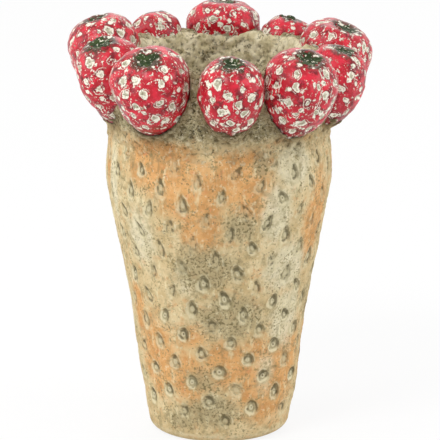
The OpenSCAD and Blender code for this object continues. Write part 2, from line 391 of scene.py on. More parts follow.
def jar_outline():
    hollow_low = FLOOR_T + HEEL_ROUND
    line = [(DRAIN_R, 0), (FOOT_R - 14, 0), (FOOT_R, 0)]
    for a in np.radians(np.linspace(-75, -18, 7)):
        line.append((FOOT_R + HEEL_ROUND * math.cos(a), HEEL_ROUND + HEEL_ROUND * math.sin(a)))
    line += [(float(wall_radius(z)), z) for z in np.linspace(HEEL_ROUND, LEDGE_H - 0.6, 169)]
    line += [(LEDGE_R - 0.6, LEDGE_H), (NECK_R + 0.5, LEDGE_H), (NECK_R, LEDGE_H + 0.5)]
    neck_top = LEDGE_H + NECK_H
    line += [(NECK_R, neck_top - 2), (NECK_R - 2, neck_top), (NECK_R - NECK_T + 2, neck_top)]
    line += [(NECK_R - NECK_T, neck_top - 2), (NECK_R - NECK_T, LEDGE_H + 4)]
    for z in np.arange(LEDGE_H - 8, hollow_low, -4.2):
        line.append((float(wall_radius(z)) - WALL_T + 0.35 * math.sin(z / 1.9), z))
    low_r = float(wall_radius(FLOOR_T)) - WALL_T
    line += [(low_r - 1.5, hollow_low - 5), (low_r - 4, FLOOR_T + 3), (low_r - HEEL_ROUND, FLOOR_T)]
    line += [(30, FLOOR_T), (DRAIN_R + 0.8, FLOOR_T), (DRAIN_R, FLOOR_T - 0.8), (DRAIN_R, 0)]
    return line


jar = turned("jar_wall", jar_outline(), 340)
print("jar:", len(jar.data.polygons), "faces")

# %% [markdown]
# ### The pits
# The mesh is too coarse for the thin line of painted shade and painted light round a pit. So each point
# only stores how far it lies from the middle of its pit, where 1 is the rim, and how much it lies on the
# upper right, where the rim gets painted shade, while the lower left gets painted light. These values run
# evenly over the mesh, and the material draws the sharp lines from them.

# %% Press the pits


def wall_pits():
    """Height and direction of each pit, evenly by area up the wall."""
    low_r, high_r = float(wall_radius(PIT_LOW)), float(wall_radius(PIT_HIGH))
    gain, span = (high_r - low_r) / (PIT_HIGH - PIT_LOW), PIT_HIGH - PIT_LOW
    area = low_r * span + gain * span**2 / 2
    count = int(math.tau * area / (PIT_SPACING**2 * math.sqrt(3) / 2))
    for k in range(count):
        part = (k + 0.5) / count * area
        z = PIT_LOW + (math.sqrt(low_r**2 + 2 * gain * part) - low_r) / gain
        yield z, math.radians(k * GOLDEN_ANGLE)


def press_pits(piece):
    """Presses each pit with a seed in its middle, then bends the whole wall by slow lumps."""
    rng = np.random.default_rng(11)
    points, normals = points_of(piece), normals_of(piece)
    x, y, z = points.T
    radius, angle = np.hypot(x, y), np.arctan2(y, x)
    outer = (radius > wall_radius(z) - 2) & (z > 2) & (z < LEDGE_H - 0.3)
    rough = lumps(points, 3.1, 7.0)
    sink, rim, side = np.zeros(len(points)), np.full(len(points), 3.0), np.zeros(len(points))
    mark = np.zeros(len(points))
    for z0, a0 in wall_pits():
        up_share = ramp(z0, 50, 200)
        wide = (5.9 - 1.5 * up_share) * rng.uniform(0.8, 1.12)
        tall = (6.6 + 1.9 * up_share) * rng.uniform(0.8, 1.15)
        deep, tilt = rng.uniform(1.0, 2.1), math.radians(rng.normal(0, 14))
        near = np.flatnonzero(outer & (abs(z - z0 - 2) < 22) & (np.cos(angle - a0) > 0.95))
        turn = (angle[near] - a0 + math.pi) % math.tau - math.pi
        across, up = turn * radius[near], z[near] - z0 - 2 * up_share
        across, up = (across * math.cos(tilt) + up * math.sin(tilt),
                      up * math.cos(tilt) - across * math.sin(tilt))
        slim = wide * (1 - (0.12 + 0.3 * up_share) * np.clip(up / tall, -1, 1))
        rho = np.sqrt((across / slim) ** 2 + (up / tall) ** 2)
        bowl = np.clip(1 - (rho + 0.1 * rough[near]) ** 2, 0, 1) ** 0.9
        seed = np.exp(-(((across + 0.4) / (0.48 * wide)) ** 2 + ((up + 1.0) / (0.46 * tall)) ** 2))
        sink[near] += -deep * bowl + 0.85 * deep * seed + 0.3 * np.exp(-(((rho - 1.2) / 0.2) ** 2))
        first = rho < rim[near]
        inside = near[first]
        rim[inside], mark[inside] = rho[first], rng.uniform(0.12, 1) * (1 - 0.35 * up_share)
        # Upper right of the pit: positive where the rim gets painted shade, negative where it gets painted
        # light
        side[inside] = 0.75 * up[first] / tall + 0.65 * across[first] / wide
    store(piece, "pit_rim", np.minimum(rim, 3))
    store(piece, "pit_shaded_side", np.clip(side, -2, 2))
    store(piece, "pit_mark", mark)
    wobble = (1.3 * lumps(points, 70, 3.0) + 0.9 * lumps(points, 24, 9.0)
              + 0.45 * lumps(points, 8, 4.0) + 0.35 * rough)
    wobble *= ramp(z, 2, 14) * ramp(z, LEDGE_H + 1, LEDGE_H - 8)
    move_points(piece, points + normals * np.where(outer, sink + wobble, 0)[:, None])


press_pits(jar)
print("pits pressed:", len(list(wall_pits())))

# %% [markdown]
# ## The clay collar
# The collar is one thick roll of rough clay. The fruits are pressed into it while it is soft, so the clay
# wells up between them, laps a little way round their sides and is smeared down over the joint with the
# jar. It is modelled the same way: a turned roll, a ball of clay under each fruit and a thin lap round its
# inner half are joined and remeshed into one skin, roughened, and the room of each fruit is cut out of it.

# %% Turn the roll and add the cups and laps


def collar_outline():
    belly, roll = (COLLAR_R - BELLY_ROUND, LEDGE_H + BELLY_RISE), (MOUTH_R + 10, COLLAR_TOP - ROLL_ROUND)
    low = LEDGE_H - LAP_DOWN
    line = [(BORE_R - 1, low), (94.5, low), (97.2, LEDGE_H - 12), (97.4, LEDGE_H - 4), (98.6, LEDGE_H + 5)]
    arcs = [(belly, BELLY_ROUND, -40, 20, 8), (roll, ROLL_ROUND, 10, 170, 14)]
    for (x, z), round_r, first, last, count in arcs:
        line += [(x + round_r * math.cos(a), z + round_r * math.sin(a))
                 for a in np.radians(np.linspace(first, last, count))]
    return line + [(MOUTH_R - 1.5, roll[1] - 6), (MOUTH_R - 1, BORE_TOP), (MOUTH_R, low), (BORE_R - 1, low)]


def join(pieces, name):
    bpy.ops.object.select_all(action="DESELECT")
    for piece in pieces:
        piece.select_set(True)
    bpy.context.view_layer.objects.active = pieces[0]
    bpy.ops.object.join()
    pieces[0].name = name
    return pieces[0]


# The clay laps less far up the inner side of the fruits at the back
LAP_TOP = [4, 4, 3, -6, -10, -12, -9, -4, 2, 4]
FIRST_VOXEL, FINE_VOXEL = 1.6, 1.5
clay = [turned("clay_collar", collar_outline(), 160)]
for i, fruit in enumerate(fruits):
    bpy.ops.mesh.primitive_uv_sphere_add(segments=40, ring_count=20, radius=(fruit.tip + CUP_DROP) * MM,
                                         location=(-CUP_DROP * MM, 0, -(fruit.reach + CUP_DROP) * MM))
    cup = bpy.context.object
    bpy.ops.object.transform_apply()
    put(cup, fruit.place)
    lap = turned("lap", fruit.outline(4, grow=2.4), 48)
    put(lap, fruit.place)
    cut(lap, *seat_plane(i, -2))
    cut(lap, *seat_plane(i, 12), keep="back")
    cut(lap, Vector((0, 0, (COLLAR_TOP + LAP_TOP[i]) * MM)), Vector((0, 0, 1)), keep="back")
    clay += [cup, lap]
collar = join(clay, "clay_collar")
apply_modifier(collar, "REMESH", mode="VOXEL", voxel_size=FIRST_VOXEL * MM)
print("collar before the cuts:", len(collar.data.polygons), "faces")

# %% Roughen the clay


def clouds(name, size, depth):
    texture = bpy.data.textures.new(name, "CLOUDS")
    texture.noise_scale, texture.noise_depth = size * MM, depth
    return texture


def roughen(name, size, height, depth=2):
    """Raises and sinks the collar by noise of a given size and height in millimetres."""
    apply_modifier(collar, "DISPLACE", texture=clouds(name, size, depth), texture_coords="LOCAL",
                   strength=height * MM, mid_level=0.5)
    print(name, "raised by up to", height / 2, "mm")


apply_modifier(collar, "SMOOTH", factor=0.5, iterations=8)
roughen("clay lumps", 17, 6)
roughen("clay crumbs", 6, 5, depth=3)
# The rough skin may fold into itself in a crease, so it is remeshed before anything is cut from it
apply_modifier(collar, "REMESH", mode="VOXEL", voxel_size=FINE_VOXEL * MM)
roughen("grog", 3, 1.6)

# %% [markdown]
# ### Rooms for the fruits
# Each room is the fruit itself, a slip gap larger. The inner side of a fruit is flattened where it meets
# the clay behind it, softly and not by a cut, because the ones at the back show that side to the mouth.
# Cuts leave loose crumbs and points with two edges only, so both are cleared away at the end.

# %% Cut the sockets, the bore and the ledge


def settle(piece, i, slack=0.0):
    """Lets the tip sink into the clay and flattens the inner side of a placed fruit or room."""
    fruit, points = fruits[i], points_of(piece)
    local = np.array(fruit.place.inverted()) @ np.c_[points * MM, np.ones(len(points))].T
    points[:, 2] -= FRUIT_SINK[i] * ramp(local[2] / MM, 0, fruit.low)
    point, normal = seat_plane(i)
    away = (points - np.array(point) / MM) @ np.array(normal) + slack
    deep = np.minimum(away, SEAT_EDGE) - SEAT_EDGE
    give = SEAT_GIVE[i] + DEEP_GIVE * ramp(points[:, 2], DEEP_FROM, DEEP_TO)
    soft = SEAT_EDGE - give * (1 - np.exp(deep / give)) + 0.03 * deep
    pushed = np.where(away < SEAT_EDGE, soft, away)
    move_points(piece, points + (pushed - away)[:, None] * np.array(normal))


sockets = []
for i, fruit in enumerate(fruits):
    socket = turned("socket", fruit.outline(2.5, grow=SLIP_GAP), 72)
    put(socket, fruit.place)
    settle(socket, i, -SLIP_GAP)
    sockets.append(socket)


def bore_outline():
    """Outline of the room for the neck, the ledge and the upper wall of the jar, 1.2 mm inside its skin."""
    low = LEDGE_H - 26
    wall = [(float(wall_radius(z)) - 1.2, z) for z in np.linspace(LEDGE_H, low, 8)]
    return [(0, BORE_TOP), (BORE_R, BORE_TOP), (BORE_R, LEDGE_H)] + wall + [(0, low)]


bore = turned("bore", bore_outline(), 160)
for tool in sockets + [bore]:
    apply_modifier(collar, "BOOLEAN", operation="DIFFERENCE", object=tool, solver="EXACT")
    bpy.data.objects.remove(tool)
    print("cut, volume now", round(volume_of(collar) / 1000, 1), "cm3")
collar = drop_crumbs(collar)
for _ in range(2):
    dissolve_flaps(collar)
print("collar:", len(collar.data.polygons), "faces")

# %% [markdown]
# ## The strawberries
# A modelled strawberry is a plump cone with round shoulders, a dimple for its stem and rows of seed pits.
# Each one is turned from its own arcs, so no two are the same. Its seeds wind down by the golden angle,
# as they nearly do on a real fruit. Slow lumps then take away the look of the wheel, and the flesh swells
# a little between the seeds, as it does on a ripe fruit.

# %% Turn and shape the fruits
# Extra swellings, listed one by one: fruit, direction on the fruit in degrees, height, spread and lift
SWELLINGS = [(1, 60, 22, 14, 3.4), (1, -60, 22, 15, 2.8), (1, 0, 25, 8, -4.0), (1, 5, 12, 9, -1.4),
             (6, -60, 17, 9, 4.5), (6, 120, 14, 10, -1.5), (0, 30, 16, 9, -1.5), (0, -50, 20, 9, 1.6),
             (9, -40, 18, 12, 2.0), (9, 30, 26, 8, -2.4), (7, 40, 16, 12, 2.2), (8, 100, 18, 12, 2.0),
             (4, 150, 16, 9, 2.2), (3, -30, 20, 12, 1.8), (2, 20, 2, 12, 2.2), (2, -10, -18, 9, -2.0)]


def seeds(i):
    """Height and direction of each seed pit of a fruit."""
    fruit = fruits[i]
    low, high = 0.94 * fruit.low, fruit.crown_h
    count = int(math.tau * fruit.half_w * (high - low) / (SEED_SPACING**2 * math.sqrt(3) / 2))
    for k in range(count):
        z, turn = high - (high - low) * (k + 0.5) / count, math.radians(k * GOLDEN_ANGLE + 36 * i)
        crowned = z > 0 and fruit.skin(z) < SEPAL_R[i] + SEED_R
        bedded = math.cos(turn) < -0.3 and z < -0.3 * high
        if not crowned and not bedded:
            yield z, turn


def shape_fruit(piece, i):
    """Presses the dimple and the seed pits, swells the flesh and stores how worn each point is."""
    fruit, rng = fruits[i], np.random.default_rng(100 + i)
    points = points_of(piece)
    r = np.hypot(points[:, 0], points[:, 1])
    points[:, 2] -= np.where(points[:, 2] > 0, fruit.dimple(r), 0)
    move_points(piece, points)
    normals = normals_of(piece)
    lift = (1.5 * lumps(points, 24, 5.0 * i) + 0.8 * lumps(points, 11, 8.0 + i)
            + 0.4 * lumps(points, 4.5, 3.0 * i))
    for owner, degrees, z, spread, height in SWELLINGS:
        if owner == i:
            turn = math.radians(degrees)
            at = np.array([fruit.skin(z) * math.cos(turn), fruit.skin(z) * math.sin(turn), z])
            lift += height * np.exp(-((np.linalg.norm(points - at, axis=1) / spread) ** 2))
    bent = points + np.c_[lumps(points, 6, 21.0), lumps(points, 6, 34.0), lumps(points, 6, 55.0)] * 2.2
    worn = np.full(len(points), 3.0)
    for z, turn in seeds(i):
        at = np.array([fruit.skin(z) * math.cos(turn), fruit.skin(z) * math.sin(turn), z])
        at += rng.normal(0, 1.3, 3)
        size, slant, squash = rng.uniform(0.72, 1.2), rng.uniform(0, math.pi), rng.uniform(0.7, 1.0)
        gap = bent - at
        around = gap @ np.array([-math.sin(turn), math.cos(turn), 0])
        along = gap[:, 2]
        deep = gap @ np.array([math.cos(turn), math.sin(turn), 0])
        u = around * math.cos(slant) + along * math.sin(slant)
        v = along * math.cos(slant) - around * math.sin(slant)
        away = np.sqrt(u**2 + (v / squash) ** 2 + 0.6 * deep**2) / (4.1 * size)
        worn = np.minimum(worn, away)
    # Each pit sinks 1.7 mm, its seed stands up 0.7 mm in the middle and the flesh round it swells 0.5 mm
    lift += (np.clip(1 - worn, 0, 1) ** 1.2 * -1.7 + 0.7 * np.exp(-((worn / 0.35) ** 2))
             + 0.5 * ramp(worn, 0.9, 1.9))
    lift *= ramp(r + abs(points[:, 2] - fruit.low), 2, 20)
    move_points(piece, points + normals * (lift - 0.3)[:, None])
    store(piece, "worn", worn)
    store(piece, "stem", r / SEPAL_R[i] + 2 * ramp(points[:, 2], 4, 0))
    # Height up the fruit from its tip, for painted shade that darkens its lower part
    store(piece, "up", (points[:, 2] - fruit.low) / (fruit.crown_h - fruit.low))


berries = []
for i, fruit in enumerate(fruits):
    berry = turned(f"berry_{i + 1:02d}", fruit.outline(1.15), 150)
    shape_fruit(berry, i)
    put(berry, fruit.place)
    settle(berry, i)
    points = points_of(berry)
    radius = np.hypot(points[:, 0], points[:, 1])
    inner = ramp(radius, FRUIT_RING[i] - 6, FRUIT_RING[i] - 20)
    store(berry, "bare", inner * ramp(points[:, 2], 358 - 1.5 * SEAT_GIVE[i], 336 - SEAT_GIVE[i]))
    berries.append(berry)
print("fruits shaped:", len(berries))

# %% [markdown]
# ## The calyxes
# Each stem dimple holds a small green star of sepals, with the scar of the stem in its middle. The star
# is a disc of rings whose rim is drawn in and out into five uneven sepals. It is draped on the crown by
# giving every point the height of the crown below it, thickened, and pressed down at the tips.

# %% Cut and drape the sepals


def calyx_disc(name, rings, around):
    """A flat disc of rings whose rim has the radius 1."""
    bpy.ops.mesh.primitive_circle_add(vertices=around, radius=MM)
    piece = bpy.context.object
    piece.name = name
    with editing(piece):
        for k in range(rings - 1):
            bpy.ops.mesh.extrude_edges_move()
            bpy.ops.transform.resize(value=[1 - 1 / (rings - k)] * 3)
        bpy.ops.mesh.extrude_edges_move()
        bpy.ops.mesh.merge(type="CENTER")
    return piece


def drape(piece, i):
    """Draws the rim into five uneven sepals and lays the disc on the crown of its fruit."""
    fruit, rng = fruits[i], np.random.default_rng(300 + i)
    points = points_of(piece)
    part, angle = np.hypot(points[:, 0], points[:, 1]), np.arctan2(points[:, 1], points[:, 0])
    reach = SEPAL_R[i]
    rim = np.full(len(points), rng.uniform(0.5, 0.62) * reach)
    for k in range(5):
        middle = math.radians(72 * k + 50 * i + rng.uniform(-16, 16))
        length, width = rng.uniform(0.7, 1.04) * reach, rng.uniform(0.45, 0.75)
        off = abs((angle - middle + math.pi) % math.tau - math.pi) / width
        rim = np.maximum(rim, length * np.clip(1 - off**1.7, 0, 1) + 0.45 * reach * np.clip(off, 0, 1))
    rim *= 1 + 0.13 * lumps(np.c_[np.cos(angle) * 9, np.sin(angle) * 9, np.full(len(angle), 3.0 * i)], 3.0)
    r = part * rim
    x, y = r * np.cos(angle), r * np.sin(angle)
    z = fruit.crown_at(r) + 0.1 + 1.6 * np.exp(-((r / 2.4) ** 2)) - 1.0 * np.exp(-((r / 1.1) ** 2))
    z += 0.3 * part * (1 - part) * 4 - 0.7 * part**6 + 0.7 * lumps(np.c_[x, y, z], 4.0, i)
    move_points(piece, np.c_[x, y, z])
    store(piece, "tip", part)


stars = []
for i, fruit in enumerate(fruits):
    star = calyx_disc(f"calyx_star_{i + 1:02d}", 14, 90)
    drape(star, i)
    with editing(star):
        bpy.ops.mesh.normals_make_consistent(inside=False)
    if sum(p.normal.z for p in star.data.polygons) < 0:
        star.data.flip_normals()
    apply_modifier(star, "SOLIDIFY", thickness=0.9 * MM, offset=1.0)
    put(star, fruit.place)
    stars.append(star)
print("calyxes draped:", len(stars))

# %% [markdown]
# ## The colours of the clay
# The fired wall is mottled: peach where the flame touched it, pale grey where ash fell, and olive where
# a thin wash stayed. The large patches are placed one by one, as a painter would, and kept on the points
# of the wall and the collar, so that one runs into the other. The material breaks their edges up with noise.

# %% Lay the patches of the wall
# Direction from the front in degrees, height, half width, half height and strength of each patch
PEACH = [(-32, 262, 36, 28, 1), (-14, 240, 34, 30, 0.95), (10, 252, 30, 26, 0.95), (20, 232, 20, 22, 0.9),
         (62, 205, 18, 44, 0.9), (-10, 205, 22, 26, 0.7), (-63, 119, 10, 28, 0.9), (-47, 77, 22, 36, 1),
         (-20, 100, 22, 14, 0.6), (6, 76, 24, 22, 0.9), (38, 51, 30, 34, 1), (-75, 250, 10, 26, 0.6),
         (110, 90, 40, 60, 0.9), (150, 230, 40, 40, 0.9), (-120, 200, 36, 50, 0.9), (-160, 70, 40, 50, 0.9),
         (-100, 40, 26, 30, 0.8), (100, 240, 30, 26, 0.7), (180, 140, 26, 30, 0.6), (-22, 64, 20, 26, 0.8),
         (30, 84, 26, 20, 0.6), (55, 75, 20, 40, 0.8)]
PALE = [(34, 66, 14, 30, 0.5), (42, 258, 20, 20, 1), (31, 218, 16, 30, 0.9), (43, 164, 28, 26, 0.8),
        (-68, 236, 9, 40, 0.8), (-47, 192, 20, 34, 0.7), (49, 115, 20, 32, 0.8), (130, 160, 36, 40, 0.8),
        (-150, 150, 40, 36, 0.8), (-95, 110, 26, 36, 0.7), (170, 40, 30, 26, 0.6), (-20, 150, 14, 14, 0.5),
        (-5, 44, 14, 12, 0.4)]
OLIVE = [(-12, 62, 20, 18, 0.6), (22, 262, 10, 12, 0.8), (12, 208, 18, 16, 0.8), (-8, 168, 34, 22, 0.9),
         (8, 122, 34, 22, 0.9), (-5, 30, 30, 16, 0.8), (-30, 20, 22, 12, 0.7), (75, 130, 14, 40, 0.5),
         (120, 40, 40, 24, 0.8), (-130, 110, 40, 30, 0.8), (165, 190, 34, 26, 0.8), (-90, 170, 20, 26, 0.5)]


def patches(piece, rows):
    """How strongly each point is covered by the patches of one colour, from 0 to 1."""
    points = points_of(piece)
    angle, z = np.arctan2(points[:, 0], -points[:, 1]), points[:, 2]
    radius = np.hypot(points[:, 0], points[:, 1])
    total = np.zeros(len(points))
    for turn, height, wide, tall, strength in rows:
        across = ((angle - math.radians(turn) + math.pi) % math.tau - math.pi) * radius
        total = np.maximum(total, strength * np.exp(-((across / wide) ** 2 + ((z - height) / tall) ** 2)))
    return total


for piece in (jar, collar):
    points = points_of(piece)
    radius, z = np.hypot(points[:, 0], points[:, 1]), points[:, 2]
    rising = ramp(z, 304, 274)
    for name, rows in (("peach", PEACH), ("pale", PALE), ("olive", OLIVE)):
        store(piece, name, patches(piece, rows) * rising)
    # Inside the mouth, where the wall is coloured paler as painted light
    inside = ramp(radius, 84, 77) * ramp(z, 270, 290)
    # Distance from the fruits, which places painted shade under and between them and a dark painted line
    # along their joints; it is raised inside the mouth, where no shade is painted, and high on the collar,
    # where less is
    store(piece, "near", fruit_distance(points) + 30 * inside + 5 * ramp(z, 300, 326))
    store(piece, "roll", ramp(z, 272, 300))
    store(piece, "inside", inside)
# How far each point lies in a crease, for painted shade in the creases and painted light on the ridges
store(jar, "crease", hollow(jar, 4, 0.6))
store(collar, "crease", hollow(collar, 5, 0.9))
for name, value in (("pit_rim", 3), ("pit_shaded_side", 0), ("pit_mark", 0)):
    store(collar, name, np.full(len(collar.data.vertices), value))
print("patches laid:", len(PEACH), "peach,", len(PALE), "pale and", len(OLIVE), "olive")

# %% [markdown]
# ## Materials
# Four finishes cover the object. They are built by two steps of a painter: a ragged edge turns any value
# into a mask whose border is broken by noise, and coats are laid one after another, each through its own
# mask. Pattern sizes are given in millimetres.

# %% Material helpers


def colour(code):
    channels = [int(code[k:k + 2], 16) / 255 for k in (1, 3, 5)]
    return [c / 12.92 if c <= 0.04045 else ((c + 0.055) / 1.055) ** 2.4 for c in channels] + [1.0]


def per(size):
    """Scale of a pattern whose features are about this many millimetres across."""
    return 1 / (size * MM)


def add_node(tree, kind, inputs=(), out=0, **settings):
    """Adds a node with its settings, sets or links its inputs and gives one output."""
    node = tree.nodes.new("ShaderNode" + kind)
    for name, value in settings.items():
        setattr(node, name, value)
    for socket, value in dict(inputs).items():
        if isinstance(value, bpy.types.NodeSocket):
            tree.links.new(value, node.inputs[socket])
        else:
            node.inputs[socket].default_value = value
    return node.outputs[out]


class Finish:
    """A material with its shader and the steps that build its colours."""

    def __init__(self, name, **uniform):
        self.material = bpy.data.materials.new(name)
        self.material.use_nodes = True
        self.tree = self.material.node_tree
        self.shader = self.tree.nodes["Principled BSDF"]
        for socket, value in uniform.items():
            self.shader.inputs[socket.replace("_", " ")].default_value = value
        self.place = self.add("TexCoord", out="Object")

    def add(self, *arguments, **settings):
        """Adds a node to this material."""
        return add_node(self.tree, *arguments, **settings)

    def drive(self, socket, value):
        """Links a value to a socket of the shader."""
        self.tree.links.new(value, self.shader.inputs[socket])

    def stored(self, name):
        """Reads a value that was stored on each point."""
        return self.add("Attribute", attribute_name=name, out="Fac")

    def grain(self, size, detail, rough=0.5, place=None):
        """Noise from 0 to 1 whose features have a given size."""
        return self.add("TexNoise", {"Vector": place or self.place, "Scale": per(size),
                                     "Detail": detail, "Roughness": rough})

    def blotches(self, size, low, high, strength=1.0, detail=4, rough=0.55, place=None):
        """Noise turned into a mask: 0 where it is below low and the full strength above high."""
        return self.ragged(self.grain(size, detail, rough, place), low, high, strength)

    def ragged(self, value, low, high, strength=1.0, size=5.0, amount=0.0):
        """A value turned into a mask, its border broken by noise of a given size and amount."""
        if isinstance(value, str):
            value = self.stored(value)
        if amount:
            either_way = self.add("Math", {0: self.grain(size, 5, 0.68), 1: 0.5}, operation="SUBTRACT")
            value = self.add("Math", {0: either_way, 1: amount, 2: value}, operation="MULTIPLY_ADD")
        span = {"Value": value, "From Min": low, "From Max": high, "To Max": strength}
        return self.add("MapRange", span, interpolation_type="SMOOTHSTEP")

    def product(self, *masks):
        """Where all the masks overlap."""
        total = masks[0]
        for mask in masks[1:]:
            total = self.add("Math", {0: total, 1: mask}, operation="MULTIPLY")
        return total

    def coats(self, base, *layers):
        """Lays coat after coat over a base, each a mask and a colour."""
        for mask, coat in layers:
            coat = colour(coat) if isinstance(coat, str) else coat
            base = self.add("MixRGB", {0: mask, 1: base, 2: coat})
        return base


print("finish helpers ready")

# %% [markdown]
# ### Fired clay
# Low-fired earthenware is matt and slightly porous. The flame leaves it peach, ash leaves it grey, and its
# pinholes are dark specks. Each pit gets rings of darker and paler clay colour and a dark dot in its middle,
# and shade is painted on the upper right of each pit rim and in every crease, with painted light on the
# lower left of the rims and on the ridges. Painted shade darkens the clay under and between the fruits, and
# painted light brightens the inner wall of the mouth. The collar is the same body with grog in it, left
# rough from the fingers, so both finishes are built by one recipe and their mottling runs on across the
# joint. Grit of real clay is finer than 1 mm; it is drawn near 2 mm across, so that it shows at all.

# %% Fired clay


def clay_body(name, grit_height):
    clay = Finish(name, Roughness=0.92, IOR=1.3)
    upright = clay.add("Mapping", {"Vector": clay.place, "Scale": (1, 1, 0.3)})
    rough = clay.blotches(2.2, 0.5, 0.62, 0.85, 3)
    dark_crowd = clay.blotches(15, 0.5, 0.62)
    peach = clay.ragged("peach", 0.14, 0.6, 0.95, 13, 0.5)
    pale = clay.ragged("pale", 0.16, 0.62, 0.85, 12, 0.55)
    olive = clay.ragged("olive", 0.2, 0.65, 0.75, 10, 0.7)
    roll = clay.ragged("roll", 0.2, 0.8, 1.0, 12, 0.8)
    inside = clay.ragged("inside", 0.3, 0.8, 0.9, 8, 0.5)
    warm = clay.coats(
        colour("#D9A468"),
        (clay.blotches(13, 0.4, 0.64), "#C8935A"),
        (clay.blotches(4, 0.45, 0.7, 0.6), "#E2B27C"),
        (clay.blotches(5, 0.57, 0.72, 0.5), "#DB8C62"),
    )
    cool = clay.coats(
        colour("#D5CCAA"),
        (clay.blotches(8, 0.42, 0.62), "#E4DCBE"),
        (clay.blotches(4, 0.5, 0.68, 0.6), "#A9A182"),
    )
    ash = clay.coats(
        colour("#A99D78"),
        (clay.blotches(14, 0.4, 0.6), "#BDB18A"),
        (clay.blotches(6, 0.5, 0.66, 0.7), "#867B5A"),
        (clay.blotches(3.2, 0.54, 0.64, 0.75), "#D6CCA8"),
        (clay.blotches(2.6, 0.52, 0.57, 0.95, 5, 0.7), "#3F3723"),
        (clay.blotches(3.0, 0.57, 0.62, 0.9, 5, 0.7), "#E9E0C2"),
    )
    # Painted light: the inner wall of the mouth is coloured far paler than the clay, with a few darker
    # blotches
    inner_wall_painted_light = clay.coats(
        colour("#FBF0CE"),
        (clay.blotches(9, 0.42, 0.6), "#E2D5AC"),
        (clay.blotches(5, 0.52, 0.64, 0.7), "#B5A77C"),
    )
    base = clay.coats(
        colour("#CFB88B"),
        (clay.blotches(30, 0.38, 0.64), "#DBC79C"),
        (clay.blotches(13, 0.44, 0.66, 0.75), "#BDA577"),
        (clay.blotches(9, 0.53, 0.68, 0.65), "#D0A06C"),
        (peach, warm),
        (pale, cool),
        (olive, "#A99B76"),
        (clay.product(dark_crowd, clay.blotches(5, 0.42, 0.62, 0.5)), "#958761"),
        (roll, ash),
        (clay.blotches(5, 0.55, 0.72, 0.55, 3, place=upright), "#E6DAB0"),
        (clay.blotches(6, 0.57, 0.72, 0.45, 3, place=upright), "#837754"),
        (clay.blotches(3.4, 0.59, 0.7, 0.45, 3), "#E8DEBA"),
        (clay.product(rough, clay.blotches(11, 0.42, 0.64)), "#8A7D55"),
        (clay.product(rough, olive), "#645A3C"),
        (clay.blotches(2.0, 0.64, 0.7, 0.7, 2), "#554C34"),
        (inside, inner_wall_painted_light),
        (clay.product(inside, clay.blotches(3.0, 0.52, 0.6, 0.85, 4), clay.blotches(14, 0.42, 0.58)),
         "#5E5438"),
    )
    rim, side, mark = map(clay.stored, ("pit_rim", "pit_shaded_side", "pit_mark"))
    ring = clay.product(clay.ragged(rim, 0.55, 0.8, 1.0, 3, 0.5), clay.ragged(rim, 1.18, 0.98, 1.0, 3, 0.5))
    base = clay.coats(
        base,
        (clay.product(mark, clay.ragged(rim, 1.7, 1.0, 0.55, 5, 0.9)), "#9C9068"),
        (clay.product(mark, clay.ragged(rim, 0.95, 0.7, 0.8, 3, 0.4)), "#C3BA95"),
        (clay.product(mark, clay.ragged(rim, 0.8, 0.5, 0.6, 2, 0.6)), "#8B8161"),
        # Painted shade on the upper right of each pit rim and painted light on its lower left
        (clay.product(ring, mark, clay.ragged(side, -0.3, 0.5, 0.85, 3, 1.0)), "#4F472F"),
        (clay.product(ring, mark, clay.ragged(side, 0.1, -0.6, 0.8, 3, 0.9)), "#EADFBA"),
        (clay.product(clay.ragged(rim, 0.46, 0.3, 0.75, 3, 0.3), mark), "#DDD4B2"),
        (clay.product(clay.ragged(rim, 0.22, 0.1, 0.9, 3, 0.25), clay.ragged(mark, 0.5, 0.7)), "#5A4830"),
    )
    base = clay.coats(
        base,
        # Painted shade in the creases and painted light on the ridges
        (clay.ragged("crease", 0.15, 0.8, 0.7, 3, 0.5), "#4A422C"),
        (clay.ragged("crease", -0.3, -0.9, 0.5, 3, 0.5), "#E2D8B6"),
        # Painted shade under and between the fruits, and a darker painted line of shade where the clay meets
        # them
        (clay.ragged("near", 12.0, 1.0, 0.55, 6, 12.0), "#76603F"),
        (clay.ragged("near", 3.0, 0.6, 0.75, 3, 3.5), "#40361F"),
    )
    clay.drive("Base Color", base)
    grit = clay.grain(2.2, 5, 0.75)
    clay.drive("Normal", clay.add("Bump", {"Strength": 0.9, "Distance": grit_height * MM, "Height": grit}))
    return clay.material


jar.data.materials.append(clay_body("fired mottled earthenware", 0.8))
collar.data.materials.append(clay_body("ash-washed grogged clay", 2.6))
print("clay finishes laid")

# %% [markdown]
# ### Worn red glaze
# The fruits wear a glossy crimson glaze over pale clay. It is rubbed through at every seed pit and in
# small flecks and scratches between them, and never reached the clay next to the collar. Bare clay is
# matt, so the same mask that changes the colour also changes the roughness.

# %% Worn red glaze
glaze = Finish("worn crimson glaze", IOR=1.38, Coat_Weight=0.12, Coat_Roughness=0.08)
upright = glaze.add("Mapping", {"Vector": glaze.place, "Scale": (1, 1, 0.32)})
broken = glaze.grain(3.4, 5, 0.7)
worn = glaze.add("Math", {0: broken, 1: 1.1, 2: glaze.stored("worn")}, operation="MULTIPLY_ADD")
spot = glaze.ragged(worn, 1.56, 1.46)
cells = glaze.add("TexVoronoi", {"Vector": glaze.place, "Scale": per(11)})
nick = glaze.ragged(cells, 0.25, 0.21, 1.0, 3, 0.4)
crowd = glaze.blotches(20, 0.4, 0.55, 1.0, 2)
fleck = glaze.product(glaze.blotches(2.8, 0.6, 0.64, 1.0, 3, 0.6), crowd)
streak = glaze.blotches(4.2, 0.625, 0.65, 1.0, 3, 0.6, upright)
halo = glaze.product(glaze.ragged(worn, 1.76, 1.86), glaze.ragged(worn, 2.06, 1.96),
                     glaze.blotches(9, 0.52, 0.58, 1.0, 2))
bared = glaze.ragged("bare", 0.38, 0.5, 1.0, 6, 3.0)
clay_share = spot
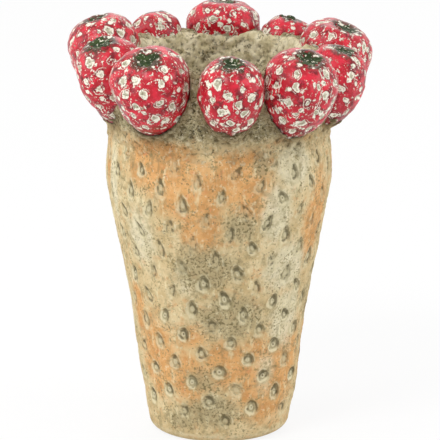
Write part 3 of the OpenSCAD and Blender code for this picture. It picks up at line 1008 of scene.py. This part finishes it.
for extra in (nick, fleck, streak, halo, bared):
    clay_share = glaze.add("Math", {0: clay_share, 1: extra}, operation="MAXIMUM")
red = glaze.coats(
    colour("#B30E22"),
    (glaze.blotches(12, 0.45, 0.6), "#D41C34"),
    (glaze.blotches(8, 0.5, 0.63, 0.95), "#6E0412"),
    (glaze.blotches(4, 0.56, 0.66, 0.6), "#E0304A"),
    # Painted shade: darker towards the tip of each fruit
    (glaze.ragged("up", 0.5, 0.08, 0.75, 9, 0.3), "#760A1A"),
    # Painted shade on the slopes round each seed pit, in blotches
    (glaze.product(glaze.ragged(worn, 1.95, 1.5), glaze.blotches(6, 0.4, 0.6, 0.85)), "#5C0612"),
    (glaze.blotches(2.6, 0.58, 0.68, 0.3), "#DD5A70"),
    (glaze.ragged("stem", 1.35, 0.9, 0.9, 4, 1.6), "#26331A"),
)
under = glaze.coats(
    colour("#F1ECDB"),
    (glaze.product(glaze.ragged(worn, 1.3, 1.05), glaze.blotches(4, 0.35, 0.5, 0.85)), "#A8A084"),
    (glaze.blotches(2.2, 0.52, 0.64, 0.75, 3), "#6E6649"),
    (glaze.product(bared, glaze.blotches(5, 0.38, 0.58, 0.85)), "#9C9070"),
)
glaze.drive("Base Color", glaze.coats(red, (clay_share, under)))
glaze.drive("Roughness", glaze.add("MapRange", {"Value": clay_share, "To Min": 0.32, "To Max": 0.8}))
relief = glaze.add("Math", {0: clay_share, 1: -0.8, 2: broken}, operation="MULTIPLY_ADD")
glaze.drive("Normal", glaze.add("Bump", {"Strength": 0.7, "Distance": 0.8 * MM, "Height": relief}))
for berry in berries:
    berry.data.materials.append(glaze.material)
print("red glaze laid on", len(berries), "fruits")

# %% [markdown]
# ### Leaf glaze
# The sepals are dipped in a dark bottle-green glaze. It has a satin sheen, is chipped to pale clay in small
# spots, and at the tips of the sepals the red of the fruit runs over it.

# %% Leaf glaze
leaf = Finish("bottle-green glaze", IOR=1.3)
chip = leaf.blotches(2.6, 0.6, 0.64, 1.0, 3)
overlap = leaf.ragged("tip", 0.85, 1.05, 1.0, 4, 1.4)
green = leaf.coats(
    colour("#20300F"),
    (leaf.blotches(6, 0.45, 0.65), "#36481C"),
    (leaf.blotches(4, 0.58, 0.7, 0.6), "#121A08"),
    (overlap, "#8A1224"),
)
leaf.drive("Base Color", leaf.coats(green, (chip, "#D8D5C0")))
leaf.drive("Roughness", leaf.add("MapRange", {"Value": chip, "To Min": 0.55, "To Max": 0.8}))
ripple = leaf.grain(2.5, 3)
leaf.drive("Normal", leaf.add("Bump", {"Strength": 0.7, "Distance": 0.8 * MM, "Height": ripple}))
for star in stars:
    star.data.materials.append(leaf.material)
print("leaf glaze laid on", len(stars), "calyxes")

# %% [markdown]
# ## Hand the pieces to the frame
# The object has no moving part, so every piece rides on the one body. Each piece stands for its own solid.

# %% Ride and replace
finish(jar, "fired_clay", "jar_body", smooth=50)
finish(collar, "ash_clay", "bedding_collar", smooth=70)
for i in FRUITS:
    finish(berries[i], "red_glaze", f"strawberry_{i + 1:02d}", smooth=60)
    finish(stars[i], "leaf_glaze", f"calyx_{i + 1:02d}", smooth=60)

# %% [markdown]
# ## Floor, lamps and background
# A pale floor keeps the soft shadow of the jar. Seen by the camera it is nearly white, and so is the
# world behind it. Four large soft lamps light the jar as a product studio does: a key from the upper left,
# one at each side, which keeps the edges of the jar as bright as its middle, and one behind.

# %% Floor and world
WHITE, SKY_STRENGTH = (1, 1, 1, 1), 0.66


def seen_rays(tree):
    """1 for the rays by which the camera sees a surface, straight, mirrored or through glass."""
    seen = add_node(tree, "LightPath", out="Is Camera Ray")
    for ray in ("Is Glossy Ray", "Is Transmission Ray"):
        seen = add_node(tree, "Math", {0: seen, 1: add_node(tree, "LightPath", out=ray)}, operation="MAXIMUM")
    return seen


bpy.ops.mesh.primitive_plane_add(size=30)
floor = bpy.context.object
floor.name = "floor"
paper = Finish("white paper", Roughness=0.9)
paper.shader.inputs["Base Color"].default_value = colour("#EDEDED")
glow = paper.add("Emission", {"Color": WHITE, "Strength": 1.0})
share = paper.product(seen_rays(paper.tree), 0.85)
mixed = paper.add("MixShader", {0: share, 1: paper.shader.outputs[0], 2: glow})
paper.tree.links.new(mixed, paper.tree.nodes["Material Output"].inputs["Surface"])
floor.data.materials.append(paper.material)

world = bpy.data.worlds.new("studio")
bpy.context.scene.world = world
world.use_nodes = True
sky = world.node_tree
lit = sky.nodes["Background"]
lit.inputs["Color"].default_value, lit.inputs["Strength"].default_value = WHITE, SKY_STRENGTH
shown = add_node(sky, "Background", {"Color": WHITE, "Strength": 1.0})
backdrop = add_node(sky, "MixShader", {0: seen_rays(sky), 1: lit.outputs[0], 2: shown})
sky.links.new(backdrop, sky.nodes["World Output"].inputs["Surface"])
print("floor and world ready")

# %% Lamps


def lamp(name, place, size, power):
    data = bpy.data.lights.new(name, "AREA")
    data.shape, data.size, data.energy = "DISK", size, power
    light = bpy.data.objects.new(name, data)
    bpy.context.scene.collection.objects.link(light)
    light.location = place
    light.rotation_euler = (Vector((0, 0, 0.2)) - Vector(place)).to_track_quat("-Z", "Y").to_euler()


lamp("key", (-0.9, -1.3, 2.2), 0.8, 24)
lamp("left side", (-2.0, -0.2, 1.0), 1.4, 14)
lamp("right side", (2.0, -0.4, 0.9), 1.4, 14)
lamp("back", (0.3, 1.8, 1.7), 1.4, 10)
bpy.context.scene.view_settings.view_transform = "Standard"
print("lamps set")
